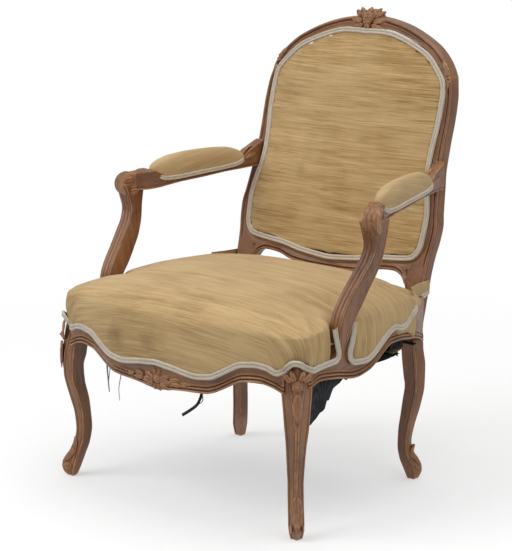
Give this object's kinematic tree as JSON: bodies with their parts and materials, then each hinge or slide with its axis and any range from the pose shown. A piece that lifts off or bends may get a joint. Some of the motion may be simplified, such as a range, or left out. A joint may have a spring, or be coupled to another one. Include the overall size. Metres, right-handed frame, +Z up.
{
  "type": "upholstered armchair",
  "caption": "Open-arm upholstered chair with a carved serpentine frame, curved tapering legs, padded cartouche back, sprung seat and padded arms.",
  "frame": {"origin": "on the floor, midway between left and right and between the foremost and hindmost points", "axes": "+X to the right of someone looking at the front, +Y towards the back, +Z up"},
  "size_m": [0.716, 0.702, 0.965],
  "materials": {
    "walnut": "waxed, worn at the edges",
    "gold_velvet": "ribbed velvet, rubbed on the seat",
    "cream_braid": "twisted cord braid",
    "jute_web": "woven jute",
    "hessian": "open plain weave",
    "black_cloth": "thin cambric",
    "spring_wire": "dark oxidised wire",
    "hair_stuffing": "matted hair"
  },
  "bodies": {
    "root": {"front_leg_right": "walnut", "front_leg_left": "walnut", "rear_post_right": "walnut", "rear_post_left": "walnut", "crest_rail": "walnut", "lower_back_rail": "walnut", "front_seat_rail": "walnut", "side_seat_rail_right": "walnut", "side_seat_rail_left": "walnut", "back_seat_rail": "walnut", "corner_blocks": "walnut", "arm_right": "walnut", "arm_left": "walnut", "arm_support_right": "walnut", "arm_support_left": "walnut", "seat_cover": "gold_velvet", "back_cover": "gold_velvet", "arm_pad_cover_right": "gold_velvet", "arm_pad_cover_left": "gold_velvet", "outside_back_cover": "gold_velvet", "seat_braid": "cream_braid", "back_braid": "cream_braid", "seat_webbing_across": "jute_web", "seat_webbing_lengthwise": "jute_web", "back_webbing": "jute_web", "spring_canvas": "hessian", "dust_cover": "black_cloth", "seat_springs": "spring_wire", "seat_stuffing": "hair_stuffing", "back_stuffing": "hair_stuffing", "arm_pad_stuffing_right": "hair_stuffing", "arm_pad_stuffing_left": "hair_stuffing"}
  },
  "joints": []
}
